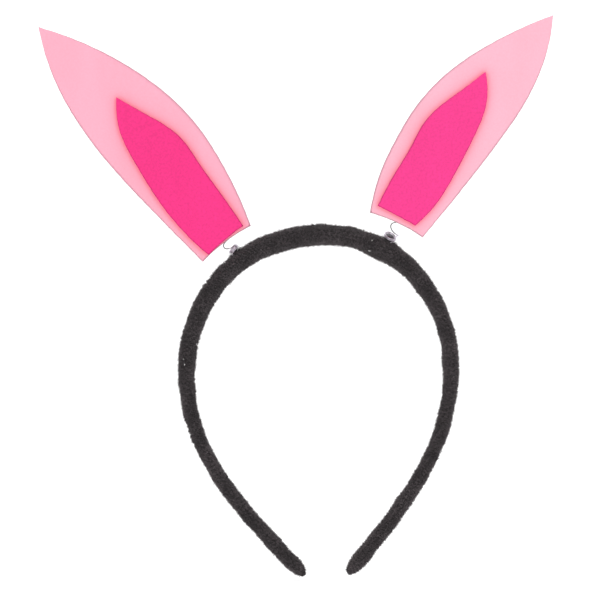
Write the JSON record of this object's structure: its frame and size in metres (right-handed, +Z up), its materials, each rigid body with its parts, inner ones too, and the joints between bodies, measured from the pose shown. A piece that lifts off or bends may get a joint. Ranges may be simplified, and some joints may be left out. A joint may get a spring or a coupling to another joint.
{
  "type": "animal ears headband",
  "caption": "Plush-covered padded hoop headband with two flat craft-foam rabbit ears that wobble on wire springs.",
  "frame": {"origin": "underside of the hoop's crown, midway between its sides and between its front and back, where it rests on the top of the head", "axes": "+Z up along the hoop's line of symmetry, +X to the right as seen from the front, -Y towards the front, the side that the bright inner ears face"},
  "size_m": [0.2309, 0.0125, 0.251],
  "materials": {
    "black_plush": "short fuzzy plush pile, dull, slightly brown in the light",
    "padding_foam": "open-cell padding foam, matt",
    "core_plastic": "moulded flexible plastic, matt",
    "steel_wire": "bright drawn steel wire",
    "light_pink_sheet": "craft foam sheet, matt, finely mottled, with crisp cut edges",
    "hot_pink_sheet": "craft foam sheet, matt, finely mottled, with crisp cut edges",
    "adhesive": "thin self-adhesive film",
    "clear_glue": "clear hot-melt glue, glossy and rounded",
    "thread": "polyester sewing thread"
  },
  "bodies": {
    "band": {"plastic_core": "core_plastic", "foam_padding": "padding_foam", "plush_sleeve": "black_plush", "anchor_glue_left": "clear_glue", "anchor_glue_right": "clear_glue", "end_stitches_left": "thread", "end_stitches_right": "thread"},
    "left_spring": {"spring_left": "steel_wire"},
    "left_ear": {"ear_outer_left": "light_pink_sheet", "ear_inner_left": "hot_pink_sheet", "ear_adhesive_left": "adhesive", "ear_glue_left": "clear_glue"},
    "right_spring": {"spring_right": "steel_wire"},
    "right_ear": {"ear_outer_right": "light_pink_sheet", "ear_inner_right": "hot_pink_sheet", "ear_adhesive_right": "adhesive", "ear_glue_right": "clear_glue"}
  },
  "joints": [
    {"name": "left_ear_nod", "type": "hinge", "parent": "band", "child": "left_spring", "pos_m": [-0.0369, 0, -0.00081], "axis": [0.8251, 0, 0.565], "range_deg": [-60, 60], "stiffness_Nm_per_rad": 0.006, "springref_deg": -0.41, "deforming": ["spring_left"]},
    {"name": "left_ear_sway", "type": "hinge", "parent": "left_spring", "child": "left_ear", "pos_m": [-0.0369, 0, -0.00081], "axis": [0, 1, 0], "range_deg": [-18, 18], "stiffness_Nm_per_rad": 0.006, "springref_deg": 10.59, "deforming": ["spring_left"]},
    {"name": "right_ear_nod", "type": "hinge", "parent": "band", "child": "right_spring", "pos_m": [0.03308, 0, 0.00168], "axis": [0.8625, 0, -0.506], "range_deg": [-60, 60], "stiffness_Nm_per_rad": 0.006, "springref_deg": -0.37, "deforming": ["spring_right"]},
    {"name": "right_ear_sway", "type": "hinge", "parent": "right_spring", "child": "right_ear", "pos_m": [0.03308, 0, 0.00168], "axis": [0, 1, 0], "range_deg": [-18, 18], "stiffness_Nm_per_rad": 0.006, "springref_deg": -8.5, "deforming": ["spring_right"]}
  ]
}
